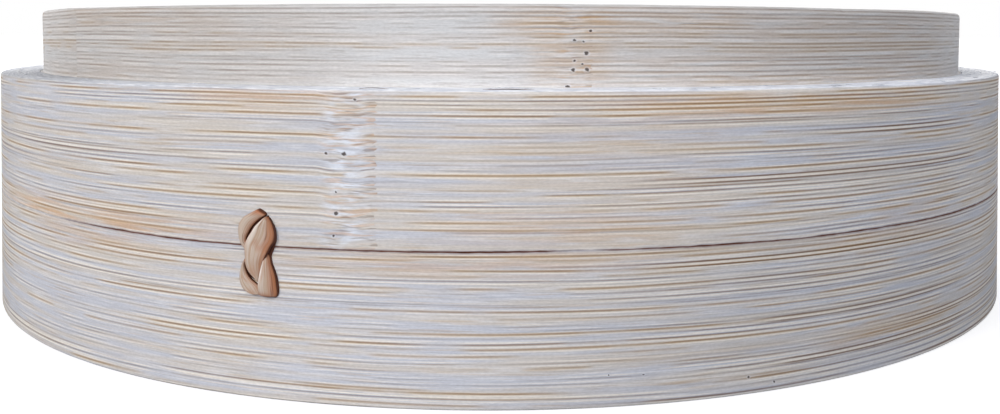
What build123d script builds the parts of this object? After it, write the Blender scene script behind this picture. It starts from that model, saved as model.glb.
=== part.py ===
from build123d import *
from math import cos, radians, sin
import os

os.makedirs("parts", exist_ok=True)

# Driving dimensions in millimetres. The basket stands on Z = 0 with its axis on Z.
outer_radius = 127.0
band_height = 25.75
seam_gap = 0.5
band_ply = 4.2
glue_line = 0.1
edge_chamfer = 0.5

lip_height = 14.0
lip_radius = 117.8
hoop_ply = 2.25
hoop_foot = 15.0
lip_chamfer = 0.7

recess_radius = 119.1
recess_depth = 14.8

bar_width = 9.0
bar_thickness = 3.6
bar_pitch = 52.0
bar_height = 18.9
bar_rows = (-1.5, -0.5, 0.5, 1.5)
mortise_play = 0.15

slat_count = 13
slat_width = 12.6
slat_thickness = 1.8
slat_pitch = 16.2
slat_reach = 112.2
weave_play = 0.15

lash_turns = (-108.3, 12.0, 142.0)
lash_top = 30.9
lash_bottom = 18.5
cane_width = 2.9
cane_thickness = 1.1
cane_play = 0.15
plug_width = 3.0
plug_height = 2.4
strand_bulge = 1.9

# Radii and heights that follow from them
band_core = outer_radius - band_ply - glue_line
band_bore = band_core - band_ply
ledge = 2 * band_height + seam_gap
rim = ledge + lip_height
hoop_radius = band_bore - glue_line
hoop_core = hoop_radius - hoop_ply - glue_line
hoop_bore = hoop_core - hoop_ply
weave = bar_thickness / 2 + slat_thickness / 2 + weave_play
lash_middle = (lash_top + lash_bottom) / 2
lash_reach = (lash_top - lash_bottom) / 2


def save(piece, name):
    piece.part.label = name
    export_step(piece.part, f"parts/{name}.step")


def bent_strip(section, eased, easing, scarf_bore, scarf_turn):
    # A strip bent to a ring. The section is turned about Z, and a thin slit at
    # a slant to the wall parts the two feathered ends.
    with BuildPart() as strip:
        with BuildSketch(Plane.XZ):
            with BuildLine():
                Polyline(*section, close=True)
            corners = make_face().vertices()
            sharp = [v for v in corners if (round(v.X, 3), round(v.Z, 3)) in eased]
            if sharp:
                chamfer(sharp, easing)
        revolve(axis=Axis.Z)
        with BuildSketch(Plane.XY.offset(-1).rotated((0, 0, scarf_turn))):
            with Locations((scarf_bore - 0.2, 22)):
                Rectangle(0.2, 44)
        extrude(amount=rim + 2, mode=Mode.SUBTRACT)
    return strip


def lash_slots(strip, heights):
    # Slots for the cane, at every lashing and at each of the given heights
    with strip:
        for height in heights:
            with Locations((0, 0, height)):
                for turn in lash_turns:
                    with PolarLocations(outer_radius - 6, 1, turn):
                        Box(20, plug_width + 0.2, plug_height + 0.2, mode=Mode.SUBTRACT)


def bar_mortises(strip):
    # Rectangular holes that the floor bars pass through on both sides
    with strip:
        for row in bar_rows:
            with Locations((row * bar_pitch, 0, bar_height)):
                Box(
                    bar_width + 2 * mortise_play,
                    2 * outer_radius,
                    bar_thickness + 2 * mortise_play,
                    mode=Mode.SUBTRACT,
                )


# Two stacked outer bands, each of two plies
for name, foot, slot, face_scarf, core_scarf in (
    ("lower_band", 0.0, lash_bottom, 80.0, 230.0),
    ("upper_band", band_height + seam_gap, lash_top, 150.0, 268.0),
):
    top = foot + band_height
    face_section = [(band_core + glue_line, foot), (outer_radius, foot)]
    face_section += [(outer_radius, top), (band_core + glue_line, top)]
    face_ply = bent_strip(
        face_section, face_section[1:3], edge_chamfer, band_core + glue_line, face_scarf
    )
    lash_slots(face_ply, [slot])
    save(face_ply, f"{name}_face_ply")

    if foot == 0:
        core_section = [(recess_radius, 0), (band_core, 0), (band_core, top)]
        core_section += [(band_bore, top), (band_bore, recess_depth)]
        core_section += [(recess_radius, recess_depth)]
    else:
        core_section = [(band_bore, foot), (band_core, foot)]
        core_section += [(band_core, top), (band_bore, top)]
    core_ply = bent_strip(core_section, [], 0, band_bore, core_scarf)
    lash_slots(core_ply, [slot])
    save(core_ply, f"{name}_core_ply")

# Inner hoop of two plies, shaved back above the ledge to make the stacking lip
hoop_face_section = [(hoop_core + glue_line, hoop_foot), (hoop_radius, hoop_foot)]
hoop_face_section += [(hoop_radius, ledge), (lip_radius, ledge)]
hoop_face_section += [(lip_radius, rim), (hoop_core + glue_line, rim)]
hoop_face_ply = bent_strip(
    hoop_face_section, [(lip_radius, rim)], lip_chamfer, hoop_core + glue_line, -147.2
)
lash_slots(hoop_face_ply, [lash_top, lash_bottom])
bar_mortises(hoop_face_ply)
save(hoop_face_ply, "inner_hoop_face_ply")

hoop_back_section = [(hoop_bore, hoop_foot), (hoop_core, hoop_foot)]
hoop_back_section += [(hoop_core, rim), (hoop_bore, rim)]
hoop_back_ply = bent_strip(
    hoop_back_section, [(hoop_bore, rim)], lip_chamfer, hoop_bore, 20.0
)
lash_slots(hoop_back_ply, [lash_top, lash_bottom])
bar_mortises(hoop_back_ply)
save(hoop_back_ply, "inner_hoop_back_ply")

# Floor bars, mortised through the inner hoop and closed in by the bands
for row, name in zip(bar_rows, ("left", "mid_left", "mid_right", "right")):
    with BuildPart() as bar:
        with BuildSketch(Plane.XZ):
            with Locations((row * bar_pitch, bar_height)):
                RectangleRounded(bar_width, bar_thickness, 0.7)
        extrude(amount=outer_radius, both=True)
        with BuildSketch(Plane.XY):
            Circle(hoop_radius - 0.15)
        extrude(amount=rim, mode=Mode.INTERSECT)
    save(bar, f"floor_bar_{name}")

# Floor slats, woven over and under the bars in turn and cut round at their ends
for number in range(slat_count):
    shift = (number - (slat_count - 1) / 2) * slat_pitch
    lean = weave if number % 2 == 0 else -weave
    with BuildPart() as slat:
        with BuildSketch(Plane.XZ.offset(-shift - slat_width / 2)):
            with BuildLine() as course:
                Line((-outer_radius, bar_height - lean), (-1.5 * bar_pitch, bar_height - lean))
                for row in bar_rows[:-1]:
                    start = (row * bar_pitch, bar_height + lean * (-1) ** (row + 0.5))
                    middle = ((row + 0.5) * bar_pitch, bar_height)
                    end = ((row + 1) * bar_pitch, bar_height - lean * (-1) ** (row + 0.5))
                    TangentArc(start, middle, tangent=(1, 0))
                    TangentArc(end, middle, tangent=(-1, 0))
                Line((1.5 * bar_pitch, bar_height + lean), (outer_radius, bar_height + lean))
            trace(course.line, slat_thickness)
        extrude(amount=slat_width)
        with BuildSketch(Plane.XY):
            Circle(slat_reach)
        extrude(amount=rim, mode=Mode.INTERSECT)
    save(slat, f"floor_slat_{number + 1:02d}")

# Cane lashings: two strands crossing in a figure eight on the outside, both
# ends plugged through the wall, and one straight run on the inside
wall = outer_radius - hoop_bore
for lash_turn, name in zip(lash_turns, ("front", "right", "back")):
    turn = radians(lash_turn)
    outward = (cos(turn), sin(turn), 0)
    spot = (outer_radius * cos(turn), outer_radius * sin(turn), lash_middle)
    face = Plane(origin=spot, x_dir=(-sin(turn), cos(turn), 0), z_dir=outward)
    with BuildPart() as cane:
        for side, lift in ((-1, cane_play), (1, 2 * cane_play + cane_thickness + 0.3)):
            with BuildSketch(face.offset(lift)):
                with BuildLine() as strand:
                    Spline(
                        (0, lash_reach),
                        (side * strand_bulge, lash_reach * 0.55),
                        (0, 0),
                        (-side * strand_bulge, -lash_reach * 0.55),
                        (0, -lash_reach),
                    )
                trace(strand.line, cane_width)
            extrude(amount=cane_thickness)
        with BuildSketch(face.offset(-wall - cane_play - cane_thickness)):
            with Locations((0, lash_reach), (0, -lash_reach)):
                Rectangle(plug_width, plug_height)
        extrude(amount=wall + 3 * cane_play + 3 * cane_thickness + 0.3)
        with BuildSketch(face.offset(-wall - cane_play)):
            Rectangle(plug_width, 2 * lash_reach + plug_height)
        extrude(amount=-cane_thickness)
    save(cane, f"lashing_{name}")
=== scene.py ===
import math
import random

import bmesh
import bpy
from mathutils import Matrix, Vector, noise


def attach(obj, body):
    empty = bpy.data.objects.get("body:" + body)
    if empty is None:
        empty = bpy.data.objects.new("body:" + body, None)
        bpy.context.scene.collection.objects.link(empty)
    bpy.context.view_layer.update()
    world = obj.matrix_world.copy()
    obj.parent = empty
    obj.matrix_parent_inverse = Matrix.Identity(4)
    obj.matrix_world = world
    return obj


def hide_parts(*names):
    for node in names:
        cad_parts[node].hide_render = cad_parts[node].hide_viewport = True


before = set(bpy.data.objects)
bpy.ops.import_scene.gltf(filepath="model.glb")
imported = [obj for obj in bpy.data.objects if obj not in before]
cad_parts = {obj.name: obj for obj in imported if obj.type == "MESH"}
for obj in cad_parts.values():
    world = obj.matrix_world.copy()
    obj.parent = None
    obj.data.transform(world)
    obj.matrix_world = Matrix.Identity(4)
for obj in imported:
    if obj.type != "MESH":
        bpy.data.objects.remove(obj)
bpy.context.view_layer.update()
mm = 0.001
wallRadius, hoopBore, seamHeight, ledgeHeight = 127.0, 113.8, 26.0, 52.0  # mm, shared by several pieces
scene = bpy.context.scene
scene.view_settings.view_transform = "Standard"
print("frame loaded:", len(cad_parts), "nodes")


# colours are written as they look on screen
def linear(code):
    parts = [int(code[i:i + 2], 16) / 255 for i in (1, 3, 5)]
    return [p / 12.92 if p <= 0.04045 else ((p + 0.055) / 1.055) ** 2.4 for p in parts] + [1.0]


# one shader node with its settings; a value that is another node, or a socket of one, is linked
def addNode(tree, kind, settings):
    node = tree.nodes.new("ShaderNode" + kind)
    for key, value in settings.items():
        if isinstance(value, bpy.types.Node):
            value = value.outputs[0]
        if isinstance(value, bpy.types.NodeSocket):
            tree.links.new(value, node.inputs[key])
        elif isinstance(key, str) and hasattr(node, key):
            setattr(node, key, value)
        else:
            node.inputs[key].default_value = linear(value) if isinstance(value, str) else value
    return node


# noise stretched along the strip; sizeMm is (across, along), cut sharpens it, strength is its top value
def grainLayer(tree, place, sizeMm, seed, cut=(0.3, 0.7), strength=1.0, detail=1.0):
    spread = addNode(tree, "VectorMath", {
        "operation": "MULTIPLY_ADD", 0: place, 1: (1000 / sizeMm[1], 1000 / sizeMm[0], 1),
        2: (seed * 3.17, seed * 5.71, seed * 1.93)})
    cloud = addNode(tree, "TexNoise", {"Vector": spread, "Scale": 1.0, "Detail": detail, "Roughness": 0.5})
    return addNode(tree, "MapRange", {
        "interpolation_type": "SMOOTHSTEP", "Value": cloud,
        "From Min": cut[0], "From Max": cut[1], "To Max": strength})


# Vessel lines on a loose lattice. Each line has its own weight, which swells and fades along
# the strip: a thin dark core with pale flanks, which are a painted highlight along the groove, and a golden
# fringe,
# Each of these is (mm off the line, half width in mm, weight at its start, weight in full, strength).
def vesselLines(tree, across, along, bold, ripe, gate, lines, seed):
    laneSpread, ripeShare, goldenSpan = 61.0, 0.7, 0.25
    cell = addNode(tree, "Math", {
        "operation": "MULTIPLY_ADD", 0: across, 1: 1000 / lines["pitchMm"], 2: seed * 7.3})
    nearest = addNode(tree, "TexVoronoi", {
        "voronoi_dimensions": "1D", "W": cell, "Scale": 1.0, "Randomness": lines["loose"]})
    chance = addNode(tree, "SeparateColor", {0: nearest.outputs["Color"]}).outputs
    lane = addNode(tree, "Math", {"operation": "MULTIPLY", 0: chance[0], 1: laneSpread})
    place = addNode(tree, "CombineXYZ", {0: along, 1: lane})
    swell = grainLayer(tree, place, (1000, lines["longMm"]), seed, (0.36, 0.62), detail=2.0)
    place = addNode(tree, "CombineXYZ", {0: along, 1: across})
    group = grainLayer(tree, place, lines["groupMm"], seed + 1, (0.4, 0.62))
    total = addNode(tree, "Math", {"operation": "MULTIPLY", 0: bold, 1: lines["boldShare"]})
    for share, part in zip(lines["shares"], (chance[1], swell, group)):
        total = addNode(tree, "Math", {"operation": "MULTIPLY_ADD", 0: part, 1: share, 2: total})
    total = addNode(tree, "MapRange", {
        "Value": total, "From Min": lines["start"], "From Max": lines["full"]})
    total = addNode(tree, "Math", {"operation": "MULTIPLY", 0: total, 1: gate})
    golden = addNode(tree, "Math", {"operation": "MULTIPLY_ADD", 0: ripe, 1: ripeShare, 2: chance[2]})
    golden = addNode(tree, "MapRange", {
        "Value": golden, "From Min": lines["golden"], "From Max": lines["golden"] + goldenSpan})
    golden = addNode(tree, "Math", {"operation": "MULTIPLY", 0: golden, 1: total})
    aside = addNode(tree, "Math", {"operation": "SUBTRACT", 0: cell, 1: nearest.outputs["W"]})
    aside = addNode(tree, "Math", {"operation": "ABSOLUTE", 0: aside})
    found = []
    # golden fringe, pale flanks that are a painted highlight, and the dark core
    for power, (offMm, halfMm, low, high, amount) in (
            (golden, lines["fringe"]), (total, lines["flankHighlight"]), (total, lines["core"])):
        away = addNode(tree, "Math", {"operation": "MULTIPLY_ADD", 0: aside, 1: lines["pitchMm"], 2: -offMm})
        away = addNode(tree, "Math", {"operation": "ABSOLUTE", 0: away})
        shape = addNode(tree, "MapRange", {
            "interpolation_type": "SMOOTHSTEP", "Value": away,
            "From Min": halfMm * 1.5, "From Max": halfMm * 0.4})
        power = addNode(tree, "MapRange", {
            "Value": power, "From Min": low, "From Max": high, "To Max": amount})
        found.append(addNode(tree, "Math", {"operation": "MULTIPLY", 0: shape, 1: power}))
    return found


# Bare bamboo, split and planed: pale grey fibre ruled with long dark vessel lines and a painted cream
# highlight beside each, tan zones, a rough paler band at each culm knot, white fuzz where it was sawn.
def bambooMaterial(look):
    made = bpy.data.materials.new(look["name"])
    made.use_nodes = True
    tree = made.node_tree
    shader = tree.nodes["Principled BSDF"]
    seed = look["seed"]
    knotWide, knotPitch, knotAt = [look[key] * mm for key in ("knotWide", "knotPitch", "knotAt")]
    endFade, startFade, edgeFade, jitterMost = 1.2 * mm, 3.0 * mm, 4.0 * mm, 0.9 * mm
    freshGround = 7.37  # how far the noise moves on behind each knot
    zoneTint, ripeTone = 0.6, 0.5  # shares of a tan zone in the tone, and of the tone in ripeness
    poreColour, poreShape, farFromPore = "#33241a", 0.8, 9.0

    grain = addNode(tree, "UVMap", {"uv_map": "grain"})
    parts = addNode(tree, "SeparateXYZ", {0: grain})
    along, side = parts.outputs[0], parts.outputs[1]
    flat = addNode(tree, "CombineXYZ", {0: along, 1: side})

    # at a culm knot the lines from one side end raggedly and fresh ones come in behind a clean edge
    ragged = grainLayer(tree, flat, (0.8, 30), seed + 41, (0.25, 0.75), knotWide)
    jitter = grainLayer(tree, flat, (0.6, 30), seed + 43, (0.2, 0.8), jitterMost)
    fromKnot = addNode(tree, "Math", {"operation": "ADD", 0: along, 1: jitter})
    fromKnot = addNode(tree, "Math", {"operation": "SUBTRACT", 0: fromKnot, 1: knotAt})
    runs = addNode(tree, "Math", {"operation": "DIVIDE", 0: fromKnot, 1: knotPitch})
    run = addNode(tree, "Math", {"operation": "FLOOR", 0: runs})
    past = addNode(tree, "Math", {"operation": "SUBTRACT", 0: runs, 1: run})
    past = addNode(tree, "Math", {"operation": "MULTIPLY", 0: past, 1: knotPitch})
    left = addNode(tree, "Math", {"operation": "SUBTRACT", 0: knotPitch, 1: past})
    run = addNode(tree, "Math", {"operation": "MULTIPLY", 0: run, 1: freshGround})
    knot = addNode(tree, "MapRange", {
        "interpolation_type": "SMOOTHSTEP", "Value": left,
        "From Min": knotWide * 1.2, "From Max": knotWide * 0.75})
    ending = addNode(tree, "Math", {"operation": "SUBTRACT", 0: left, 1: ragged})
    ending = addNode(tree, "MapRange", {"Value": ending, "From Max": endFade, "To Min": look["through"]})
    starting = addNode(tree, "Math", {"operation": "SUBTRACT", 0: past, 1: ragged})
    starting = addNode(tree, "MapRange", {
        "Value": starting, "From Max": startFade, "To Min": look["through"]})
    gate = addNode(tree, "Math", {"operation": "MINIMUM", 0: ending, 1: starting})

    # lines run almost straight and ripple a little at the knot
    sway = grainLayer(tree, flat, (14, 70), seed + 7, (0.0, 1.0), look["sway"] * mm)
    ripple = grainLayer(tree, flat, (2.4, 6.5), seed + 9, (0.2, 0.8), look["ripple"] * mm)
    ripple = addNode(tree, "Math", {"operation": "MULTIPLY", 0: ripple, 1: knot})
    fading = addNode(tree, "MapRange", {
        "interpolation_type": "SMOOTHSTEP", "Value": left, "From Max": edgeFade})
    ripple = addNode(tree, "Math", {"operation": "MULTIPLY", 0: ripple, 1: fading})
    across = addNode(tree, "Math", {"operation": "ADD", 0: side, 1: sway})
    across = addNode(tree, "Math", {"operation": "ADD", 0: across, 1: ripple})
    place = addNode(tree, "CombineXYZ", {0: along, 1: across, 2: run})
    steady = addNode(tree, "CombineXYZ", {0: along, 1: across})

    # body colour: bands of cool and warm, streaks, tan zones, then the lines
    zone = addNode(tree, "Attribute", {"attribute_name": "warm"}).outputs["Fac"]
    tone = grainLayer(tree, steady, look["toneMm"], seed + 1, (0.36, 0.64))
    tone = addNode(tree, "Math", {"operation": "MULTIPLY_ADD", 0: zone, 1: zoneTint, 2: tone})
    fibre = grainLayer(tree, steady, look["fibreMm"], seed + 6, (0.25, 0.75), detail=2.0)
    colour = addNode(tree, "Mix", {
        "data_type": "RGBA", 0: tone, 6: look["body"], 7: look["warm"]}).outputs[2]
    for number, (shade, sizeMm, cut, amount) in enumerate(look["streaks"]):
        streak = grainLayer(tree, steady, sizeMm, seed + 21 + number, cut, amount)
        colour = addNode(tree, "Mix", {"data_type": "RGBA", 0: streak, 6: colour, 7: look[shade]}).outputs[2]
    wash = grainLayer(tree, steady, (0.55, 12), seed + 31, (0.24, 0.62))
    warm = addNode(tree, "Math", {"operation": "MULTIPLY", 0: zone, 1: wash})
    colour = addNode(tree, "Mix", {"data_type": "RGBA", 0: warm, 6: colour, 7: look["orange"]}).outputs[2]
    bold = addNode(tree, "Attribute", {"attribute_name": "bold"}).outputs["Fac"]
    ripe = addNode(tree, "Math", {"operation": "MULTIPLY_ADD", 0: tone, 1: ripeTone, 2: warm})
    relief = fibre
    # each line lays its golden fringe, its pale flanks as a painted highlight, then its dark core
    for number, lines in enumerate(look["lines"]):
        fringe, flankHighlight, core = vesselLines(tree, across, along, bold, ripe, gate, lines, seed + 2 + 5 * number)
        for amount, ink in ((fringe, "tan"), (flankHighlight, "highlightCream"), (core, "line")):
            colour = addNode(tree, "Mix", {
                "data_type": "RGBA", 0: amount, 6: colour, 7: look[ink]}).outputs[2]
        relief = addNode(tree, "Math", {"operation": "SUBTRACT", 0: relief, 1: core})

    # knot: paler patches, short tan smears and dark ticks
    marks = []
    for key, sizeMm, step, cut in (
            ("tick", (0.36, 4.0), 14, (0.42, 0.3)), ("smear", (0.55, 6.0), 11, (0.54, 0.68)),
            ("bleach", (1.1, 4.5), 12, (0.4, 0.65))):
        mark = grainLayer(tree, place, sizeMm, seed + step, cut, look[key])
        marks.append(addNode(tree, "Math", {"operation": "MULTIPLY", 0: mark, 1: knot}))
    tick, smear, bleach = marks
    bleach = addNode(tree, "Math", {"operation": "MULTIPLY", 0: bleach, 1: fading})

    # open pores with a pale rim, at (along, height, half width) in mm
    torn = addNode(tree, "TexNoise", {"Vector": flat, "Scale": 1600.0, "Detail": 1.0}).outputs["Color"]
    torn = addNode(tree, "VectorMath", {
        "operation": "MULTIPLY_ADD", 0: torn, 1: (0.5 * mm, 0.4 * mm, 0),
        2: (-0.25 * mm, -0.2 * mm, 0)})
    torn = addNode(tree, "VectorMath", {"operation": "MULTIPLY_ADD", 0: flat, 1: (poreShape, 1, 0), 2: torn})
    nearPore = farFromPore
    for alongMm, heightMm, halfMm in look["pores"]:
        gap = addNode(tree, "VectorMath", {
            "operation": "DISTANCE", 0: torn,
            1: (poreShape * alongMm * mm, heightMm * mm, 0)}).outputs["Value"]
        gap = addNode(tree, "Math", {"operation": "MULTIPLY", 0: gap, 1: 1000 / halfMm})
        nearPore = addNode(tree, "Math", {"operation": "MINIMUM", 0: gap, 1: nearPore})
    pore, poreRim = [addNode(tree, "MapRange", {
        "interpolation_type": "SMOOTHSTEP", "Value": nearPore,
        "From Min": far, "From Max": near, "To Max": amount})
        for far, near, amount in ((1.25, 0.6, 0.88), (2.2, 1.2, 0.25))]

    # sawn edges: white fuzz, broken along the strip; brown stain beside the seam
    sawn = addNode(tree, "Attribute", {"attribute_name": "sawn"}).outputs["Fac"]
    stain = addNode(tree, "Attribute", {"attribute_name": "stain"}).outputs["Fac"]
    fuzz = grainLayer(tree, flat, (0.6, 3.0), seed + 13, (0.3, 0.7), detail=2.0)
    fuzzColour = addNode(tree, "Mix", {
        "data_type": "RGBA", 0: fuzz, 6: look["sawnDark"], 7: look["sawn"]}).outputs[2]
    for amount, shade in ((bleach, look["bleached"]), (smear, look["orange"]), (tick, look["line"]),
                          (poreRim, look["bleached"]), (pore, poreColour), (sawn, fuzzColour),
                          (stain, look["stain"])):
        colour = addNode(tree, "Mix", {"data_type": "RGBA", 0: amount, 6: colour, 7: shade}).outputs[2]

    # light and dark: fibres, flecks and the zones' brightness, partly the strip's own tone, partly painted
    # shade and light
    light = addNode(tree, "Attribute", {"attribute_name": "light"}).outputs["Fac"]
    shade = addNode(tree, "MapRange", {"Value": fibre, "To Min": 0.92, "To Max": 1.01})
    fleck = grainLayer(tree, flat, (0.24, 0.7), seed + 15, (0.25, 0.75), look["fleck"], detail=2.0)
    shade = addNode(tree, "Math", {"operation": "ADD", 0: shade, 1: fleck})
    shade = addNode(tree, "Math", {"operation": "MULTIPLY_ADD", 0: light, 1: shade, 2: shade})
    colour = addNode(tree, "VectorMath", {"operation": "SCALE", 0: colour, "Scale": shade})
    tree.links.new(colour.outputs[0], shader.inputs["Base Color"])

    for bulge, height in ((pore, -1.5), (ripple, 600.0), (fuzz, 0.2)):
        relief = addNode(tree, "Math", {"operation": "MULTIPLY_ADD", 0: bulge, 1: height, 2: relief})
    bump = addNode(tree, "Bump", {"Strength": look["bump"], "Distance": 0.12 * mm, "Height": relief})
    tree.links.new(bump.outputs[0], shader.inputs["Normal"])
    gloss = addNode(tree, "MapRange", {
        "Value": fibre, "To Min": look["rough"], "To Max": look["rough"] + 0.14})
    tree.links.new(gloss.outputs[0], shader.inputs["Roughness"])
    shader.inputs["IOR"].default_value = 1.5
    shader.inputs["Specular IOR Level"].default_value = 0.3
    return made


singleLines = {
    "pitchMm": 0.86, "loose": 0.85, "longMm": 20.0, "groupMm": (4.5, 110), "shares": (0.4, 0.52, 0.22),
    "boldShare": 1.0, "start": 0.41, "full": 1.02, "golden": 0.59, "fringe": (0.0, 0.24, 0.04, 0.65, 0.6),
    "flankHighlight": (0.36, 0.13, 0.1, 0.9, 0.78), "core": (0.0, 0.125, 0.0, 1.0, 0.6),
}
pairedLines = {
    "pitchMm": 4.3, "loose": 1.0, "longMm": 60.0, "groupMm": (9.0, 160), "shares": (0.5, 0.5, 0.2),
    "boldShare": 2.0, "start": 0.84, "full": 1.25, "golden": 0.57, "fringe": (0.0, 0.42, 0.0, 0.8, 0.4),
    "flankHighlight": (0.0, 0.2, 0.05, 0.7, 0.8), "core": (0.36, 0.14, 0.0, 0.8, 0.8),
}
# sizes are (across, along) in mm; streaks are (colour, size, cut, strength); fineLine is the hoop's alone
bandLook = {
    "name": "planedBambooBand", "seed": 3.0,
    "body": "#c0c2ca", "warm": "#ccc5bd", "tan": "#bd9f75", "orange": "#c99f74", "highlightCream": "#ede6db",
    "line": "#6a4d35", "pale": "#dddcde", "bleached": "#dee3ec",
    "sawn": "#eef0f3", "sawnDark": "#babec8", "stain": "#5a2b12",
    "toneMm": (1.5, 45), "fibreMm": (0.3, 9), "fleck": 0.12,
    "streaks": (("pale", (0.5, 9), (0.54, 0.68), 0.4), ("tan", (0.5, 12), (0.58, 0.72), 0.25)),
    "lines": (singleLines, pairedLines),
    "knotAt": 212.9, "knotPitch": 266.0, "knotWide": 9.0, "sway": 0.8, "ripple": 0.4, "through": 0.7,
    "bleach": 0.8, "smear": 0.46, "tick": 0.46, "bump": 0.35, "rough": 0.6,
    "pores": ((207.2, 41.5, 0.34), (205.8, 31.8, 0.32), (204.1, 41.5, 0.24), (205.7, 35.3, 0.17),
              (205.3, 28.1, 0.2), (209.0, 50.4, 0.22)),
}
lowerLook = dict(
    bandLook, name="planedBambooLowerBand", seed=17.0, warm="#c9c3bd", knotAt=235.0, knotPitch=302.0,
    pores=((430.6, 3.0, 0.22), (435.7, 1.6, 0.2), (411.5, 5.2, 0.15), (405.6, 5.5, 0.15)),
)
hoopLook = dict(
    bandLook, name="planedBambooHoop", seed=29.0,
    body="#cacaca", warm="#c9c5c2", tan="#c3b29c", orange="#bb976d", line="#857263", fineLine="#8b817a",
    pale="#dedddd", highlightCream="#e4e0dc", sawn="#cfcdcb", sawnDark="#b7b3af",
    lines=(dict(singleLines, pitchMm=0.84, loose=0.5, longMm=8.0, shares=(0.28, 0.52, 0.2),
                start=0.18, full=0.9, golden=0.92, fringe=(0.0, 0.28, 0.05, 0.7, 0.6),
                flankHighlight=(0.4, 0.15, 0.1, 0.8, 0.6), core=(0.0, 0.14, 0.0, 1.0, 0.5)),),
    streaks=(("pale", (0.5, 7), (0.54, 0.68), 0.25), ("fineLine", (0.34, 4), (0.43, 0.3), 0.22)),
    toneMm=(3.0, 60), knotAt=113.4, knotPitch=300.0, knotWide=6.0,
    ripple=0.15, smear=0.6, bleach=0.25, through=0.85,
    pores=((112.0, 58.3, 0.3), (109.7, 55.5, 0.28), (112.1, 55.5, 0.3), (109.9, 57.0, 0.2),
           (109.9, 60.5, 0.23), (108.8, 52.7, 0.26), (111.5, 60.3, 0.18), (112.7, 62.1, 0.22),
           (111.3, 56.5, 0.16)),
)
liningLook = dict(
    hoopLook, name="planedBambooLining", seed=37.0, body="#cec6ba", warm="#d0c2ad", knotAt=60.0, pores=(),
)
coreLook = dict(
    bandLook, name="sawnBambooCore", seed=53.0, body="#cbc6c1", warm="#cdc0b0", rough=0.7, knotAt=90.0,
    pores=(),
)
slatLook = dict(
    bandLook, name="splitBambooSlat", seed=71.0, body="#d3c7b1", warm="#cfba96", tan="#bf9f70",
    orange="#b07e44", line="#7c5a35", highlightCream="#e6d8bd", pale="#e4d9c4",
    sawn="#dacdb4", sawnDark="#bfae88", knotAt=0.0, knotPitch=240.0, knotWide=7.0, sway=0.4, pores=(),
)
barLook = dict(slatLook, name="splitBambooBar", seed=83.0, body="#c9b590", warm="#c4a472", knotPitch=210.0)

# Split cane: smooth and satin, tan with browner edges, fine fibres along it; the brown and dark at the edges
# are partly painted shade, and a painted highlight runs along some left edges
caneLook = {
    "name": "splitCane", "body": "#b89d86", "brown": "#a9612f", "dark": "#4a2210", "pale": "#cbbcae",
    "paintedEdgeHighlight": "#f3ebe2", "fibreMm": (0.2, 7), "patchMm": (1.5, 5), "splitMm": (0.5, 9), "rough": 0.42,
}


def caneMaterial(look):
    made = bpy.data.materials.new(look["name"])
    made.use_nodes = True
    tree = made.node_tree
    shader = tree.nodes["Principled BSDF"]
    grain = addNode(tree, "UVMap", {"uv_map": "grain"})
    edge = addNode(tree, "Attribute", {"attribute_name": "edge"}).outputs["Fac"]
    fibre = grainLayer(tree, grain, look["fibreMm"], 5.0, detail=2.0)
    patch = grainLayer(tree, grain, look["patchMm"], 9.0, (0.5, 0.72), 0.35)
    split = grainLayer(tree, grain, look["splitMm"], 13.0, (0.62, 0.7), 0.45)
    colour = addNode(tree, "Mix", {
        "data_type": "RGBA", 0: fibre, 6: look["body"], 7: look["pale"]}).outputs[2]
    # shine: a painted highlight along the lit left edges
    shine = addNode(tree, "Attribute", {"attribute_name": "shine"}).outputs["Fac"]
    # deep: the darkest edge values, painted shade in the crevices, along the low sides and on the shade
    # strips, and darker towards the ends
    deep = addNode(tree, "MapRange", {
        "interpolation_type": "SMOOTHSTEP", "Value": edge, "From Min": 0.72, "From Max": 0.98})
    for amount, shade in (
            (patch, "brown"), (edge, "brown"), (split, "dark"), (deep, "dark"), (shine, "paintedEdgeHighlight")):
        colour = addNode(tree, "Mix", {"data_type": "RGBA", 0: amount, 6: colour, 7: look[shade]}).outputs[2]
    tree.links.new(colour, shader.inputs["Base Color"])
    relief = addNode(tree, "Math", {"operation": "SUBTRACT", 0: fibre, 1: split})
    bump = addNode(tree, "Bump", {"Strength": 0.4, "Distance": 0.1 * mm, "Height": relief})
    tree.links.new(bump.outputs[0], shader.inputs["Normal"])
    shader.inputs["Roughness"].default_value = look["rough"]
    shader.inputs["IOR"].default_value = 1.5
    shader.inputs["Specular IOR Level"].default_value = 0.25
    return made


bandFinish = bambooMaterial(bandLook)
lowerFinish = bambooMaterial(lowerLook)
hoopFinish = bambooMaterial(hoopLook)
liningFinish = bambooMaterial(liningLook)
coreFinish = bambooMaterial(coreLook)
slatFinish = bambooMaterial(slatLook)
barFinish = bambooMaterial(barLook)
caneFinish = caneMaterial(caneLook)
print("materials made:", len(bpy.data.materials))


def smoothStep(low, high, x):
    t = min(1.0, max(0.0, (x - low) / (high - low)))
    return t * t * (3 - 2 * t)


# slow noise along a length, both in mm
def wander(s, length, seed):
    return noise.noise(Vector((s / length, seed * 1.37, seed * 0.61)))


def finishPiece(bm, name, finish, nodes, sharp=50):
    mesh = bpy.data.meshes.new(name)
    bm.to_mesh(mesh)
    bm.free()
    mesh.materials.append(finish)
    mesh.shade_smooth()
    mesh.set_sharp_from_angle(angle=math.radians(sharp))
    piece = bpy.data.objects.new(name, mesh)
    scene.collection.objects.link(piece)
    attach(piece, "root")
    if nodes:
        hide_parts(*nodes)
    return piece


# degrees from a turn to an angle, the shorter way round
def turnGap(a, turn):
    return (math.degrees(a) - turn + 180) % 360 - 180


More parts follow.
